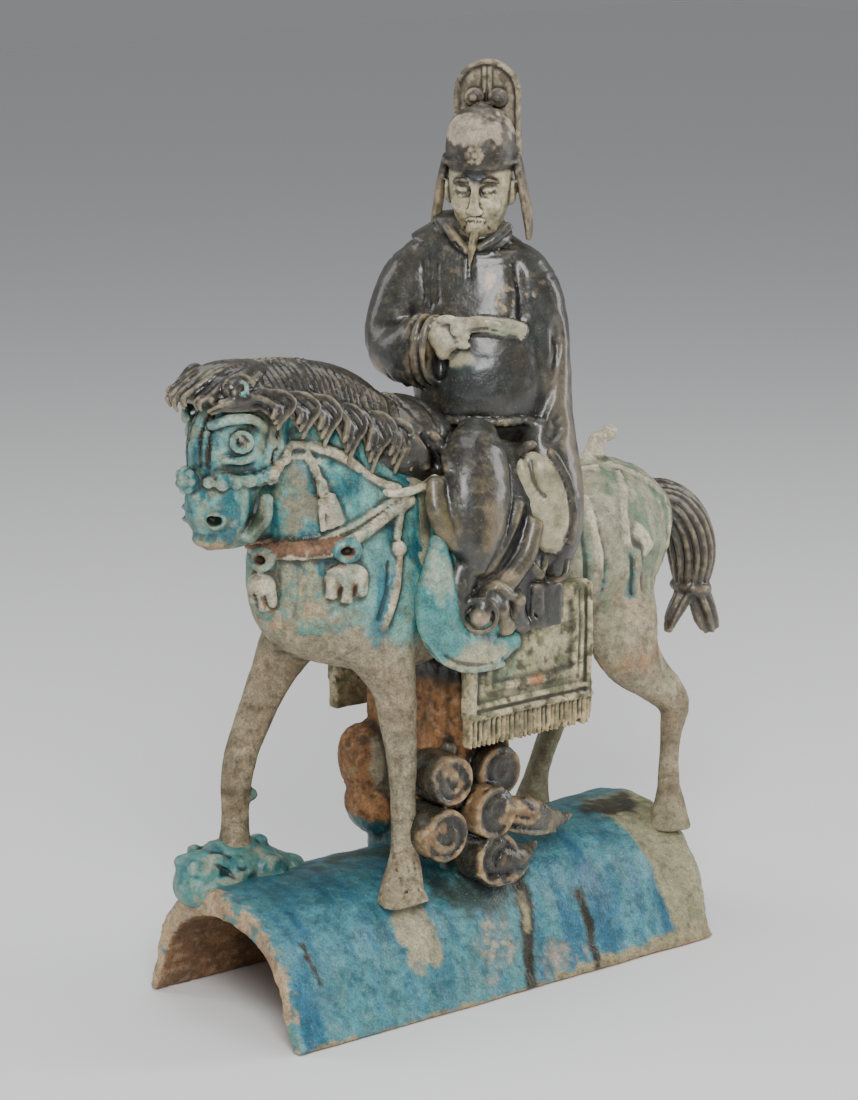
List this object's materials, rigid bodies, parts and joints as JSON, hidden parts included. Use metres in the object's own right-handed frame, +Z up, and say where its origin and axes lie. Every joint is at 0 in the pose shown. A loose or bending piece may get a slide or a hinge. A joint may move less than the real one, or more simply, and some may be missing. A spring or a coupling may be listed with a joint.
{
  "type": "roof ridge figure",
  "caption": "Glazed stoneware roof ridge figure: a robed horseman on a saddled horse, propped by a cloud pillar on an arched ridge tile, made as one piece",
  "frame": {"origin": "middle of the underside of the whole object's box, on the ground under the tile", "axes": "+Z up, -X the way the horse faces along the ridge, -Y the horse's left side"},
  "size_m": [0.4894, 0.1894, 0.65],
  "materials": {
    "glazed_stoneware": "glossy turquoise, green, amber and dark brown glazes, worn and weathered, over buff fired clay"
  },
  "bodies": {
    "root": {"ridge_tile_horseman": "glazed_stoneware"}
  },
  "joints": []
}
